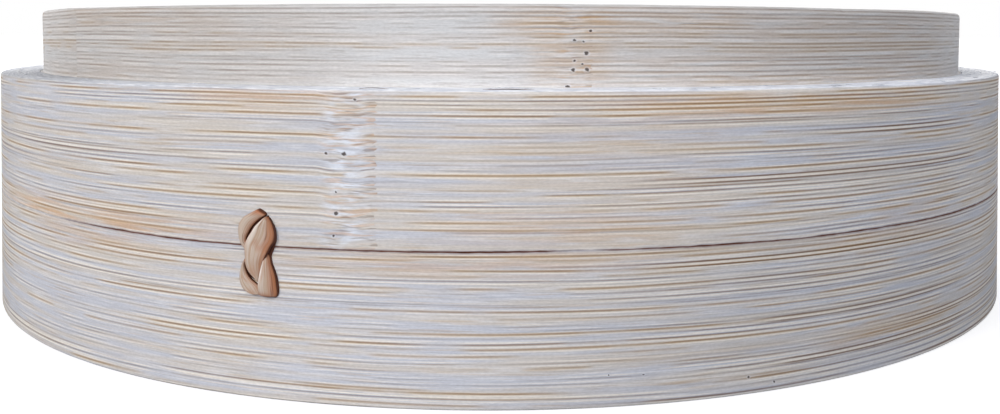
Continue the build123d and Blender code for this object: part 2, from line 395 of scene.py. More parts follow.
# What all bent strips share, in mm: reaches are how far in from an edge something goes, waves the
# lengths of the unevenness, swell and knot are (height, length).
bend = {
    "cell": 2.4, "lapLine": 0.25, "lapIn": 0.2, "steps": 60, "sawn": 0.92,
    "sawnReach": (0.35, 0.05), "stainReach": (0.32, 0.03), "softReach": 3.0, "crispReach": 0.6,
    "faceDepth": 0.2, "topWave": 30, "footWave": 26, "seamWave": 24, "fuzzWave": 1.9,
    "swell": (0.12, 60), "knot": (0.16, 3.2),
}


# A bamboo strip bent to a ring. The section is laid on the slanting lap, then spun almost
# once round, so the two feathered ends stay apart by the width of the lap line.
def bendStrip(name, strip, finish):
    bm = bmesh.new()
    sawnFrom, sawnTo = bend["sawnReach"]
    stainFrom, stainTo = bend["stainReach"]
    soft, crisp = bend["softReach"], bend["crispReach"]
    across, sawn, stain, warm, light, bold, radius, turned = [bm.verts.layers.float.new(key) for key in (
        "across", "sawn", "stain", "warm", "light", "bold", "radius", "turned")]
    foot, top = min(z for r, z, ease in strip["section"]), max(z for r, z, ease in strip["section"])
    outer = max(r for r, z, ease in strip["section"])
    corners = [bm.verts.new((r, 0, z)) for r, z, ease in strip["section"]]
    bm.faces.new(corners)
    for corner, (r, z, ease) in zip(corners, strip["section"]):
        if ease:
            bmesh.ops.bevel(bm, geom=[corner], offset=ease, offset_type="OFFSET",
                            affect="VERTICES", segments=3, profile=0.5, material=-1)
    for edge in list(bm.edges):
        cuts = int(edge.calc_length() / bend["cell"])
        if cuts:
            bmesh.ops.subdivide_edges(bm, edges=[edge], cuts=cuts)
    face = bm.faces[:][0]
    girth = 0.0
    for loop in face.loops:
        v = loop.vert
        z = v.co.z
        v[across], v[radius] = girth, v.co.x
        girth += (loop.link_loop_next.vert.co - v.co).length
        v[sawn] = bend["sawn"] * max(
            smoothStep(top - sawnFrom, top - sawnTo, z), smoothStep(foot + sawnFrom, foot + sawnTo, z))
        v[stain] = strip["stainTop"] * smoothStep(top - stainFrom, top - stainTo, z)
        v[stain] += strip["stainFoot"] * smoothStep(foot + stainFrom, foot + stainTo, z)
    foremost = max(bm.verts, key=lambda v: v.co.x)
    level = foremost.co.z - foremost[across]  # makes the side coordinate the height on the outer face
    bmesh.ops.delete(bm, geom=[face], context="FACES_ONLY")

    start, lap = math.radians(strip["lapTurn"]), strip["lapBore"] - bend["lapIn"]
    for v in bm.verts:
        at = start + math.acos(lap / v[radius])
        v.co = (v[radius] * math.cos(at), v[radius] * math.sin(at), v.co.z)
    whole = 2 * math.pi - bend["lapLine"] / outer
    slack = 0.0005  # keeps the first row from counting as a whole turn
    bmesh.ops.spin(bm, geom=bm.verts[:] + bm.edges[:], cent=(0, 0, 0), axis=(0, 0, 1), dvec=(0, 0, 0),
                   angle=whole, steps=bend["steps"], use_merge=False, use_duplicate=False)
    for v in bm.verts:
        at = math.atan2(v.co.y, v.co.x) - start - math.acos(lap / v[radius])
        v[turned] = (at + slack) % (2 * math.pi) - slack
    aroundEdges = [e for e in bm.edges if abs(e.verts[0][turned] - e.verts[1][turned]) > 0.01]
    bmesh.ops.subdivide_edges(bm, edges=aroundEdges, cuts=strip["finer"], use_grid_fill=True)
    bmesh.ops.holes_fill(bm, edges=[e for e in bm.edges if e.is_boundary], sides=0)

    grain = bm.loops.layers.uv.new("grain")
    for f in bm.faces:
        sides = [loop.vert[across] for loop in f.loops]
        wraps = max(sides) - min(sides) > girth / 2 and len(sides) == 4
        for loop in f.loops:
            side = loop.vert[across] + (girth if wraps and loop.vert[across] < girth / 2 else 0)
            loop[grain].uv = (loop.vert[turned] * outer * mm, (side + level) * mm)

    seed = strip["seed"]
    for v in bm.verts:
        r, z, s = v[radius], v.co.z, v[turned] * outer
        a = start + math.acos(lap / r) + v[turned]
        upper, lower = smoothStep(top - soft, top, z), smoothStep(foot + soft, foot, z)
        edgeUp, edgeDown = smoothStep(top - crisp, top, z), smoothStep(foot + crisp, foot, z)
        atSeam = upper if foot == 0 else lower
        lift = upper * strip["wanderTop"] * wander(s, bend["topWave"], seed)
        lift += lower * strip["wanderFoot"] * wander(s, bend["footWave"], seed + 5)
        lift += atSeam * strip.get("seamWander", 0.0) * (
            wander(math.cos(a) * wallRadius, bend["seamWave"], 5.0)
            + wander(math.sin(a) * wallRadius, bend["seamWave"], 9.0))
        fuzz = edgeUp * strip["fuzzTop"] - edgeDown * strip["fuzzFoot"]
        lift += fuzz * wander(s, bend["fuzzWave"], seed + 11 + r * 0.4)
        for turn, wide, deep in strip.get("chips", ()):
            lift -= edgeUp * deep * math.exp(-(turnGap(a, turn) * math.pi / 180 * r / wide) ** 2)
        for turn, wide, fall in strip.get("seamFall", ()):
            lift -= atSeam * fall * math.exp(-(turnGap(a, turn) * math.pi / 180 * r / wide) ** 2)
        # zone brightness goes to the light attribute: partly the strip's own tone, partly painted shade and
        # light
        for turn, height, wide, tall, warmth, glow, ruled in strip.get("zones", ()):
            near = math.exp(-(turnGap(a, turn) / wide) ** 4 - ((z - height) / tall) ** 4)
            v[warm] += near * warmth
            v[light] += near * glow
            v[bold] += near * ruled
        for turn, wide, share in strip.get("stainFade", ()):
            v[stain] *= 1 - share * math.exp(-(turnGap(a, turn) / wide) ** 4)
        swell = bend["swell"][0] * wander(s, bend["swell"][1], seed + 3) * strip["uneven"]
        outward = (r - strip["lapBore"]) / (outer - strip["lapBore"])
        swell += strip.get("lean", 0.0) * (1 - z / seamHeight) * outward
        if r > outer - bend["faceDepth"]:
            high, long = bend["knot"]
            swell += sum(high * math.exp(-((s - at) / long) ** 2) for at in strip.get("knots", ()))
        v.co = Vector(((r + swell) * math.cos(a), (r + swell) * math.sin(a), z + lift)) * mm
    bmesh.ops.recalc_face_normals(bm, faces=bm.faces[:])
    print("bent", name, len(bm.faces), "faces")
    return finishPiece(bm, name, finish, [strip["node"]])


# Sections are (radius, height, easing) in mm and knots are mm along the strip. Chips and seamFall are
# (turn, half width in mm, depth in mm), stainFade is (turn, half turn, share). Zones are (turn, height,
# half turn, half height, tan, lighter, bolder lines), with turns in degrees; lighter scales the
# brightness, partly the strip's own tone and partly painted shade and light.
lowerFace = {
    "node": "lower_band_face_ply",
    "section": [(122.8, 0, 0.2), (127, 0, 0.5), (127, 1.2, 0), (127, 25.5, 0), (127, 25.78, 0),
                (127, 26.01, 0.04), (122.8, 26.01, 0.04)],
    "lapBore": 122.8, "lapTurn": 80.0, "finer": 14, "seed": 2.0,
    "wanderTop": 0.05, "wanderFoot": 0.0, "fuzzTop": 0.1, "fuzzFoot": 0.0,
    "uneven": 0.6, "seamWander": 0.12,
    "stainTop": 1.0, "stainFoot": 0.0, "lean": 0.4,
    "seamFall": ((-113.0, 32.0, 0.3), (-138.0, 24.0, -0.11), (-80.0, 10.0, -0.07)),
    "stainFade": ((-141.0, 13.0, 0.75), (-84.0, 2.0, 0.6)),
    "zones": (
        (-90.0, 24.0, 16.0, 2.2, 0.4, 0.0, 0.0), (-55.0, 23.8, 10.0, 2.5, 0.5, 0.0, 0.0),
        (-56.0, 7.0, 9.0, 3.0, 0.5, 0.0, 0.1), (-126.0, 23.5, 10.0, 2.5, 0.4, 0.0, 0.0),
        # painted shade: the zones at turns -27 and -154 darken the band at both sides of the front, where it
        # turns from the lamps
        (-27.0, 13.0, 11.0, 15.0, 0.0, -0.19, 0.1), (-154.0, 13.0, 12.0, 15.0, 0.0, -0.16, 0.0),
        (-58.0, 13.0, 22.0, 16.0, -0.2, -0.09, 0.25), (-102.0, 10.0, 13.0, 14.0, 0.0, 0.07, -0.04),
        (-88.0, 8.8, 32.0, 0.5, 0.25, -0.04, 0.45), (-72.0, 17.4, 24.0, 0.5, 0.1, 0.0, 0.4),
        (-128.0, 11.0, 16.0, 10.0, -0.35, 0.02, -0.05),
    ),
}
bendStrip("lowerBandFace", lowerFace, lowerFinish)

upperFace = {
    "node": "upper_band_face_ply",
    "section": [(122.8, 26.05, 0.04), (127, 26.05, 0.04), (127, 26.28, 0), (127, 26.6, 0), (127, 50.8, 0),
                (127, 52, 0.6), (122.8, 52, 0.08)],
    "lapBore": 122.8, "lapTurn": 150.0, "finer": 14, "seed": 8.0,
    "wanderTop": 0.12, "wanderFoot": 0.05, "fuzzTop": 0.07, "fuzzFoot": 0.1,
    "uneven": 0.6, "seamWander": 0.12,
    "stainTop": 0.0, "stainFoot": 1.0, "lean": 0.4,
    "knots": (208.0, 474.0, 740.0),
    "seamFall": ((-113.0, 32.0, 0.3), (-81.0, 4.0, 0.1), (-66.0, 3.0, 0.1)),
    "stainFade": ((-141.0, 13.0, 0.75), (-84.0, 2.0, 0.6)),
    "zones": (
        (-66.0, 49.6, 17.0, 2.6, 0.75, 0.0, 0.0), (-108.0, 50.2, 7.0, 1.6, 0.6, 0.0, 0.0),
        (-128.0, 27.5, 16.0, 1.5, 0.85, 0.0, 0.0), (-52.0, 30.0, 7.0, 4.0, 0.4, 0.0, 0.0),
        # painted shade and light on the ledge: darker at turn -142, lighter at turns -95 and -62
        (-86.0, 29.5, 9.0, 2.5, 0.35, 0.0, 0.0), (-142.0, 52.0, 15.0, 0.4, 0.0, -0.3, 0.0),
        (-95.0, 51.9, 14.0, 0.9, 0.0, 0.12, -0.2), (-62.0, 52.0, 21.0, 0.9, -0.6, 0.24, -0.3),
        # painted shade: the zones at turns -27 and -154 darken the band at both sides of the front, where it
        # turns from the lamps
        (-56.0, 39.0, 18.0, 15.0, 0.0, -0.03, 0.2), (-27.0, 39.0, 11.0, 15.0, 0.0, -0.19, 0.1),
        (-154.0, 39.0, 12.0, 15.0, 0.0, -0.16, 0.0), (-125.0, 40.0, 14.0, 14.0, 0.0, -0.02, 0.1),
        (-95.0, 40.0, 7.0, 13.0, 0.0, 0.06, 0.0), (-80.0, 40.0, 12.0, 12.0, 0.1, 0.03, -0.02),
        (-54.0, 37.5, 15.0, 9.5, -0.4, 0.0, 0.0),
    ),
}
bendStrip("upperBandFace", upperFace, bandFinish)

lowerCore = {
    "node": "lower_band_core_ply",
    "section": [(119.1, 0, 0.2), (122.7, 0, 0.2), (122.7, 25.9, 0.1), (118.5, 25.9, 0.2),
                (118.5, 14.8, 0.2), (119.1, 14.8, 0.1)],
    "lapBore": 118.5, "lapTurn": 230.0, "finer": 7, "seed": 14.0,
    "wanderTop": 0.1, "wanderFoot": 0.0, "fuzzTop": 0.06, "fuzzFoot": 0.0, "uneven": 0.3,
    "stainTop": 0.9, "stainFoot": 0.0,
}
bendStrip("lowerBandCore", lowerCore, coreFinish)

upperCore = {
    "node": "upper_band_core_ply",
    "section": [(118.5, 26.2, 0.1), (122.7, 26.2, 0.1), (122.7, 52, 0.08), (118.5, 52, 0.1)],
    "lapBore": 118.5, "lapTurn": 268.0, "finer": 14, "seed": 21.0,
    "wanderTop": 0.12, "wanderFoot": 0.1, "fuzzTop": 0.07, "fuzzFoot": 0.05, "uneven": 0.3,
    "stainTop": 0.0, "stainFoot": 0.9,
    "zones": (
        # painted shade and light on the ledge: darker at turn -142, lighter at turns -86 and -50
        (-142.0, 52.0, 15.0, 0.4, 0.0, -0.38, 0.0), (-86.0, 52.0, 22.0, 0.4, 0.0, 0.22, 0.0),
        (-50.0, 52.0, 14.0, 0.4, 0.0, 0.36, 0.0),
    ),
}
bendStrip("upperBandCore", upperCore, coreFinish)

hoopFace = {
    "node": "inner_hoop_face_ply",
    "section": [(116.15, 15, 0.3), (118.4, 15, 0.3), (118.4, 52, 0.1), (117.8, 52, 0.1), (117.8, 64.9, 0),
                (117.8, 66, 0.9), (116.15, 66, 0.15)],
    "lapBore": 116.15, "lapTurn": -147.2, "finer": 17, "seed": 27.0,
    "wanderTop": 0.16, "wanderFoot": 0.1, "fuzzTop": 0.05, "fuzzFoot": 0.05, "uneven": 0.4,
    "stainTop": 0.0, "stainFoot": 0.0,
    "knots": (110.9, 410.9, 710.9), "chips": ((-57.3, 0.9, 0.7), (-56.3, 1.6, 0.25)),
    "zones": (
        (-128.0, 65.0, 14.0, 2.6, 0.2, -0.05, 0.12), (-124.0, 59.0, 20.0, 12.0, 0.14, -0.12, 0.0),
        (-93.0, 55.5, 11.0, 6.5, 0.0, 0.08, -0.14), (-54.0, 59.0, 18.0, 12.0, 0.3, -0.12, 0.22),
        (-85.5, 63.0, 5.0, 2.2, 0.6, 0.0, 0.25), (-84.2, 59.0, 3.4, 6.5, 0.45, 0.0, 0.2),
        (-76.0, 63.0, 7.0, 2.5, 0.45, -0.03, 0.2), (-74.0, 54.6, 9.0, 2.0, 0.35, 0.03, 0.1),
        (-72.0, 52.4, 36.0, 1.2, 0.0, 0.24, -0.4),
    ),
}
bendStrip("innerHoopFace", hoopFace, hoopFinish)

hoopBack = {
    "node": "inner_hoop_back_ply",
    "section": [(113.8, 15, 0.3), (116.05, 15, 0.3), (116.05, 66, 0.15), (113.8, 66, 0.6)],
    "lapBore": 113.8, "lapTurn": 20.0, "finer": 8, "seed": 33.0,
    "wanderTop": 0.16, "wanderFoot": 0.1, "fuzzTop": 0.05, "fuzzFoot": 0.05, "uneven": 0.4,
    "stainTop": 0.0, "stainFoot": 0.0,
}
bendStrip("innerHoopBack", hoopBack, liningFinish)


# what the floor's split strips share: (height, length) of their unevenness in mm, and where in the
# grain a strip and its underside lie
floorStrip = {
    "bow": (0.35, 55), "nick": (0.1, 9), "warp": (0.06, 14), "apart": (173.0, 31.0), "underside": 40.0,
}


# A straight split strip with eased edges, along X or Y and cut to the round at its ends
def splitStrip(size, reach, offset, along, shape, seed):
    width, thick, ease, cuts = size
    (bow, bowMm), (nick, nickMm), (warp, warpMm) = [floorStrip[key] for key in ("bow", "nick", "warp")]
    bm = bmesh.new()
    bmesh.ops.create_cube(bm, size=2.0)
    bmesh.ops.scale(bm, vec=(1.0, width / 2, thick / 2), verts=bm.verts)
    lengthways = [e for e in bm.edges if abs(e.verts[0].co.x - e.verts[1].co.x) > 1]
    bmesh.ops.bevel(bm, geom=lengthways, offset=ease, offset_type="OFFSET", affect="EDGES",
                    segments=3, profile=0.5, material=-1)
    wide = [e for e in bm.edges if abs(e.verts[0].co.y - e.verts[1].co.y) > width / 2]
    bmesh.ops.subdivide_edges(bm, edges=wide, cuts=4, use_grid_fill=True)
    lengthways = [e for e in bm.edges if abs(e.verts[0].co.x - e.verts[1].co.x) > 1]
    bmesh.ops.subdivide_edges(bm, edges=lengthways, cuts=cuts, use_grid_fill=True)
    bmesh.ops.recalc_face_normals(bm, faces=bm.faces[:])
    grain = bm.loops.layers.uv.new("grain")
    sawn = bm.verts.layers.float.new("sawn")
    middle = math.sqrt(reach ** 2 - offset ** 2)
    for f in bm.faces:
        under = floorStrip["underside"] if f.normal.z < -0.5 else 0.0
        for loop in f.loops:
            c = loop.vert.co
            lengthMm = seed * floorStrip["apart"][0] + c.x * middle
            sideMm = seed * floorStrip["apart"][1] + c.y + c.z * 0.7 + under
            loop[grain].uv = (lengthMm * mm, sideMm * mm)
    for v in bm.verts:
        v[sawn] = 0.9 if abs(v.co.x) > 0.999 else 0.0
        wobble = bow * wander(v.co.x * middle, bowMm, seed) + nick * wander(v.co.x * middle, nickMm, seed + 2)
        y = v.co.y + wobble
        x = v.co.x * math.sqrt(max(reach ** 2 - (offset + y) ** 2, 1.0))
        z = v.co.z + shape(x) + warp * wander(x + y * 3, warpMm, seed + 4)
        v.co = Vector((x, offset + y, z) if along == "X" else (offset + y, x, z)) * mm
    bmesh.ops.recalc_face_normals(bm, faces=bm.faces[:])
    return bm


# sizes are (width, thickness, easing in mm, cuts along)
slats = {"count": 13, "pitch": 16.2, "size": (12.6, 1.8, 0.5, 150), "reach": 112.2,
         "weave": 2.85, "barPitch": 52.0, "height": 18.9}
for number in range(slats["count"]):
    lean = slats["weave"] if number % 2 == 0 else -slats["weave"]
    edgeBar = 1.5 * slats["barPitch"]
    woven = lambda x: slats["height"] - lean * math.sin(
        math.pi * max(-edgeBar, min(edgeBar, x)) / slats["barPitch"])
    shift = (number - (slats["count"] - 1) / 2) * slats["pitch"]
    label = f"{number + 1:02d}"
    bm = splitStrip(slats["size"], slats["reach"], shift, "X", woven, number + 1.0)
    finishPiece(bm, "floorSlat" + label, slatFinish, ["floor_slat_" + label])

bars = {"names": ("left", "mid_left", "mid_right", "right"), "size": (9.0, 3.6, 0.8, 60), "reach": 118.2}
for number, side in enumerate(bars["names"]):
    shift = (number - 1.5) * slats["barPitch"]
    bm = splitStrip(bars["size"], bars["reach"], shift, "Y", lambda x: slats["height"], number + 21.0)
    finishPiece(bm, "floorBar_" + side, barFinish, ["floor_bar_" + side])
print("floor woven:", slats["count"], "slats on", len(bars["names"]), "bars")


# smooth path through the stations of a strand
def between(stations, count):
    rows = [Vector(s) for s in stations]
    rows = [rows[0] * 2 - rows[1]] + rows + [rows[-1] * 2 - rows[-2]]
    found = []
    for step in range(count + 1):
        place = step / count * (len(stations) - 1)
        i = min(int(place), len(stations) - 2)
        t = place - i
        a, b, c, d = rows[i:i + 4]
        found.append(0.5 * (2 * b + (c - a) * t + (2 * a - 5 * b + 4 * c - d) * t ** 2
                            + (3 * b - a - 3 * c + d) * t ** 3))
    return found


# One strand of split cane: a flat crowned section carried along by extrusion. Stations are
# (left side, up, right side, up, left out, right out, thickness, roll, tone) in mm on the wall,
# where roll is how far the right side rounds down and tone how strong a painted highlight runs
# along the left edge, or, below zero, how dark the strand is painted as shade.
def layStrand(bm, layers, stations, rings, seed):
    along, across, edge, height, shine = layers
    section = [(-1.1, 0), (-1.04, 0.5), (-0.96, 0.8), (-0.85, 0.92), (-0.5, 0.98), (0, 1), (0.5, 0.98),
               (0.85, 0.92), (0.96, 0.8), (1.04, 0.5), (1.1, 0), (0, -0.02)]
    verts = [bm.verts.new((x, y, 0)) for x, y in section]
    for v, (x, y) in zip(verts, section):
        v[across], v[height] = x, y
    ring = [bm.edges.new((verts[i], verts[i - 1])) for i in range(len(verts))]
    ends = list(ring)
    for k, row in enumerate(between(stations, rings)):
        if k:
            grown = bmesh.ops.extrude_edge_only(bm, edges=ring)["geom"]
            verts = [g for g in grown if isinstance(g, bmesh.types.BMVert)]
            ring = [e for e in grown if isinstance(e, bmesh.types.BMEdge)]
            ring = [e for e in ring if all(v in verts for v in e.verts)]
        for v in verts:
            near = (v[across] + 1) / 2
            leftEdge, rightEdge = Vector((row[0], row[1], row[4])), Vector((row[2], row[3], row[5]))
            fall = row[7] * smoothStep(0.0, 1.1, v[across])
            v.co = leftEdge.lerp(rightEdge, near) + Vector((0, 0, row[6] * v[height] * (1 - fall)))
            v[along] = seed * lashings["apartMm"] + k * lashings["ringMm"]
            ending = lashings["endDark"] * smoothStep(*lashings["endRings"], min(k, rings - k))
            # edge: browner and darker on the low sides, the rolled right side and the ends, dark on shade
            # strips; partly the cane's own browner edge, partly painted shade in the crevices and where the
            # cane turns from the key light
            v[edge] = max(1.0 - smoothStep(0.6, 0.97, v[height]), min(0.78, fall * 2.6), ending, -row[8])
            # shine: a painted highlight along the left edge, as strong as the tone
            v[shine] = max(0.0, row[8]) if -0.99 < v[across] < -0.8 else 0.0
    bmesh.ops.holes_fill(bm, edges=ends + ring, sides=0)


lashings = {
    "turns": {"front": -108.3, "right": 12.0, "back": 142.0}, "rings": 64,
    "apartMm": 20.0, "ringMm": 0.3, "halfWideMm": 1.6, "undersideMm": 5,
    "endDark": 0.95, "endRings": (9.0, 2.0),
    "underStrand": [
        (0.3, 6.05, 1.4, 5.5, -1.1, -1.1, 0.8, 0.15, 0), (-0.1, 5.85, 1.45, 5, -0.1, -0.1, 0.8, 0.15, 0),
        (-1.5, 5.1, 0.65, 4.5, 0, 0, 0.85, 0.25, 0), (-2.65, 4.4, -0.25, 3.85, 0, 0, 0.85, 0.25, 0),
        (-3.45, 3.2, -1.1, 3, 0, 0, 0.85, 0.25, 0), (-3.6, 2.1, -1.75, 2, 0, 0, 0.85, 0.25, 0),
        (-3.45, 1, -2.2, 1.05, 0, 0, 0.85, 0.25, 0), (-3.1, 0, -2.1, 0.3, 0, 0, 0.8, 0.2, 0),
        (-2.3, -1, -1, -0.3, 0, 0, 0.7, 0.2, 0), (-0.8, -2, 0.7, -1, 0, 0, 0.6, 0.6, 0),
        (0.9, -2.4, 1.9, -1.6, 0.1, 0, 0.7, 0.6, 0.3), (1.27, -2.9, 2.4, -3, 0.6, 0.1, 0.9, 0.55, 0.9),
        (1.02, -4, 2.9, -4.1, 0.75, 0.2, 0.95, 0.5, 1), (0.73, -5.3, 3.3, -5.3, 0.75, 0.25, 1, 0.5, 0.7),
        (0.5, -6.5, 3.5, -6.6, 0.7, 0.3, 1, 0.5, 0.3), (0.4, -7.6, 3.6, -7.7, 0.5, 0.25, 0.95, 0.5, 0),
        (0.55, -8.4, 3.3, -8.5, 0.1, 0, 0.9, 0.5, 0), (1.1, -8.8, 2.4, -8.9, -1.1, -1.1, 0.8, 0.5, 0)],
    "overStrand": [
        (1.75, 5, 1.95, 4.8, -1.1, -1.1, 0.8, 0.5, 0), (1.6, 4.75, 2.05, 4.5, 0.2, 0, 0.8, 0.5, 0.3),
        (1.16, 4.22, 2.53, 4, 0.8, 0.2, 0.85, 0.5, 0.8), (0.15, 3.28, 3, 2.9, 0.9, 0.3, 0.85, 0.5, 0.8),
        (-0.57, 2.25, 3.25, 1.7, 0.9, 0.35, 0.85, 0.5, 0.6),
        (-1.29, 1.21, 3.05, 0.7, 0.9, 0.4, 0.85, 0.5, 0.5),
        (-1.83, 0.07, 2.5, -0.1, 0.9, 0.5, 0.85, 0.5, 0.2),
        (-1.9, -1.1, 1.95, -1.18, 0.85, 0.6, 0.85, 0.3, 0), (-1.9, -2.2, 1.5, -2, 0.75, 0.6, 0.85, 0.25, 0),
        (-1.87, -3.3, 1.1, -3, 0.7, 0.45, 0.8, 0.25, 0),
        (-1.4, -4.5, 0.8, -4.2, 0.55, 0.3, 0.75, 0.25, 0), (-0.55, -5.5, 0.55, -5.2, 0.35, 0.2, 0.7, 0.2, 0),
        (0.1, -6.25, 0.35, -6.15, 0.1, 0.1, 0.6, 0.2, 0), (0.2, -6.6, 0.3, -6.6, -0.8, -0.8, 0.6, 0.2, 0)],
    "tailStrand": [
        (-2.3, -2.2, -1.2, -2.4, -0.2, -0.2, 0.7, 0.2, 0), (-2.75, -2.95, -2.4, -3.15, 0, 0, 0.75, 0.2, 0),
        (-3.1, -3.8, -2.42, -4.1, 0, 0, 0.8, 0.2, 0), (-3.4, -5.1, -1.9, -5.25, 0, 0, 0.85, 0.2, 0),
        (-3.4, -6.2, -1, -6.2, 0, 0, 0.85, 0.2, 0), (-3, -7.3, 0.2, -7, 0, 0, 0.8, 0.2, 0),
        (-2.2, -8.05, 0.5, -7.8, 0, 0, 0.75, 0.15, 0), (-1.2, -8.45, 0.5, -8.35, -0.1, -0.1, 0.7, 0.15, 0),
        (-0.6, -8.7, 0.4, -8.7, -1.1, -1.1, 0.7, 0.15, 0)],
    # painted shade: flat dark strands laid in the crevices under the strands and as a shadow along their
    # right sides, each given by its two sides alone
    "bedOut": -0.1, "bedEnds": -0.9, "bedSeed": 8, "insideSeed": 1,
    "upperShadeBed": [
        (1.2, 5.2, 2, 5), (0.5, 4.4, 1.6, 4), (-0.5, 3.5, 0.6, 3), (-1.3, 2.4, -0.1, 2),
        (-2, 1.2, -0.9, 0.8), (-2.3, 0.2, -1.3, -0.1)],
    "lowerShadeBed": [
        (-2.4, -2.7, -1.4, -2.6), (-2.5, -3.6, -1.4, -3.4), (-2.1, -4.7, -1, -4.3),
        (-1.3, -5.7, -0.3, -5.2), (-0.3, -6.7, 0.5, -6.2)],
    "shadowEdge": [
        (1.6, 4.9, 2, 4.75), (1.9, 4.4, 2.3, 4.3), (2.4, 3, 3, 3), (2.6, 1.7, 3.28, 1.7),
        (2.4, 0.7, 3.2, 0.6), (1.6, -0.5, 2.75, -0.7), (1.4, -1.6, 2.35, -1.8), (1.8, -2.9, 2.55, -3),
        (2.2, -4.1, 3, -4.1), (2.6, -5.3, 3.42, -5.3), (2.8, -6.6, 3.66, -6.6), (2.8, -7.7, 3.7, -7.8),
        (2.2, -8.5, 3.2, -8.65), (1.4, -8.9, 2.4, -8.95)],
    "insideRun": [
        (-1, 5.9, 1, 5.9, -1.2, -1.2, 0.8, 0.1, 0), (-1.3, 5.2, 1.3, 5.2, 0.15, 0.15, 0.85, 0.1, 0),
        (-1.3, 2, 1.6, 2, 0.25, 0.25, 0.9, 0.1, 0), (-1.55, -2, 1.35, -2, 0.25, 0.25, 0.9, 0.1, 0),
        (-1.4, -6, 1.5, -6, 0.25, 0.25, 0.9, 0.1, 0), (-1.3, -7.7, 1.3, -7.7, 0.15, 0.15, 0.85, 0.1, 0),
        (-1, -8.3, 1, -8.3, -1.2, -1.2, 0.8, 0.1, 0)],
}
for number, (spot, lashTurn) in enumerate(lashings["turns"].items()):
    bm = bmesh.new()
    layers = [bm.verts.layers.float.new(key) for key in ("along", "across", "edge", "height", "shine")]
    a = math.radians(lashTurn)
    out, right = Vector((math.cos(a), math.sin(a), 0)), Vector((-math.sin(a), math.cos(a), 0))
    up, seam = Vector((0, 0, 1)), Vector((0, 0, seamHeight))
    for strand, seed in (("underStrand", 11), ("overStrand", 10), ("tailStrand", 10)):
        layStrand(bm, layers, lashings[strand], lashings["rings"], number * 3 + seed)
    # painted shade: dark strips in the crevices and a painted shadow along the right sides
    for strand, thick in (("upperShadeBed", 0.4), ("lowerShadeBed", 0.4), ("shadowEdge", 0.3)):
        sides = lashings[strand]
        depths = [lashings["bedEnds"], *[lashings["bedOut"]] * (len(sides) - 2), lashings["bedEnds"]]
        shadeBed = [(*side, depth, depth, thick, 0, -1) for side, depth in zip(sides, depths)]
        layStrand(bm, layers, shadeBed, lashings["rings"], number * 3 + lashings["bedSeed"])
    wall = Matrix((right, up, out)).transposed().to_4x4()
    bmesh.ops.transform(bm, matrix=Matrix.Translation(out * wallRadius + seam) @ wall, verts=bm.verts)
    outside = set(bm.verts)
    layStrand(bm, layers, lashings["insideRun"], lashings["rings"], number * 3 + lashings["insideSeed"])
    inner = Matrix((-right, up, -out)).transposed().to_4x4()
    bmesh.ops.transform(bm, matrix=Matrix.Translation(out * hoopBore + seam) @ inner,
                        verts=[v for v in bm.verts if v not in outside])
    bmesh.ops.recalc_face_normals(bm, faces=bm.faces[:])
    grain = bm.loops.layers.uv.new("grain")
    for f in bm.faces:
        for loop in f.loops:
            v = loop.vert
            under = 0 if v[layers[3]] > 0 else lashings["undersideMm"]
            loop[grain].uv = (v[layers[0]] * mm, (v[layers[1]] * lashings["halfWideMm"] + under) * mm)
    bmesh.ops.scale(bm, vec=(mm, mm, mm), verts=bm.verts)
    finishPiece(bm, "lashing_" + spot, caneFinish, ["lashing_" + spot], sharp=70)
print("lashed at", len(lashings["turns"]), "places")

# Slivers lifted by the saw along the ledge. Those in front are given one by one: (turn, radius, length,
# width, lift, stain), where the stain on two of them paints dark lines of shadow along the ledge.
slivers = {
    "count": 60, "seed": 4, "longMm": (1.2, 5.0), "wideMm": (0.12, 0.4), "thickMm": 0.08,
    "liftMm": (0.04, 0.13), "rows": (126.2, 124.6, 122.9, 121.4, 119.6), "grainScale": 3,
    "front": ((-89.0, 124.0, 9.0, 0.8, 0.42, 0.0), (-89.0, 124.4, 9.5, 0.5, 0.12, 0.85),
              (-99.5, 124.0, 5.0, 0.5, 0.2, 0.7)),
}
dice = random.Random(slivers["seed"])
bm = bmesh.new()
sawn, stain = bm.verts.layers.float.new("sawn"), bm.verts.layers.float.new("stain")
grain = bm.loops.layers.uv.new("grain")
laid = [(dice.uniform(0, 360), dice.choice(slivers["rows"]) + dice.uniform(-0.5, 0.5),
         dice.uniform(*slivers["longMm"]), dice.uniform(*slivers["wideMm"]),
         dice.uniform(*slivers["liftMm"]), 0.0) for number in range(slivers["count"])]
for turn, r, long, wide, lift, dark in laid + list(slivers["front"]):
    made = bmesh.ops.create_cube(bm, size=1.0)["verts"]
    bmesh.ops.scale(bm, vec=(wide, long, slivers["thickMm"]), verts=made)
    lengthways = {e for v in made for e in v.link_edges if abs(e.verts[0].co.y - e.verts[1].co.y) > long / 2}
    bmesh.ops.subdivide_edges(bm, edges=list(lengthways), cuts=6, use_grid_fill=True)
    for v in [v for v in bm.verts if not v[sawn]]:
        near = v.co.y / long + 0.5
        taper = 0.25 + 0.75 * math.sin(math.pi * min(1.0, near * 0.9 + 0.1))
        out, spot = r + v.co.x * taper, math.radians(turn) + v.co.y / r
        rise = v.co.z * (0.5 + taper / 2) + ledgeHeight + lift * math.sin(math.pi * min(1.0, near * 1.1))
        v.co = (out * math.cos(spot), out * math.sin(spot), rise)
        # stain: painted shadow lines on the two darkened front slivers, none on the rest
        v[sawn], v[stain] = 0.9, dark
for f in bm.faces:
    for loop in f.loops:
        loop[grain].uv = loop.vert.co.xy * mm * slivers["grainScale"]
bmesh.ops.recalc_face_normals(bm, faces=bm.faces[:])
bmesh.ops.scale(bm, vec=(mm, mm, mm), verts=bm.verts)
finishPiece(bm, "ledgeSlivers", coreFinish, [])
print("slivers laid:", len(laid) + len(slivers["front"]))

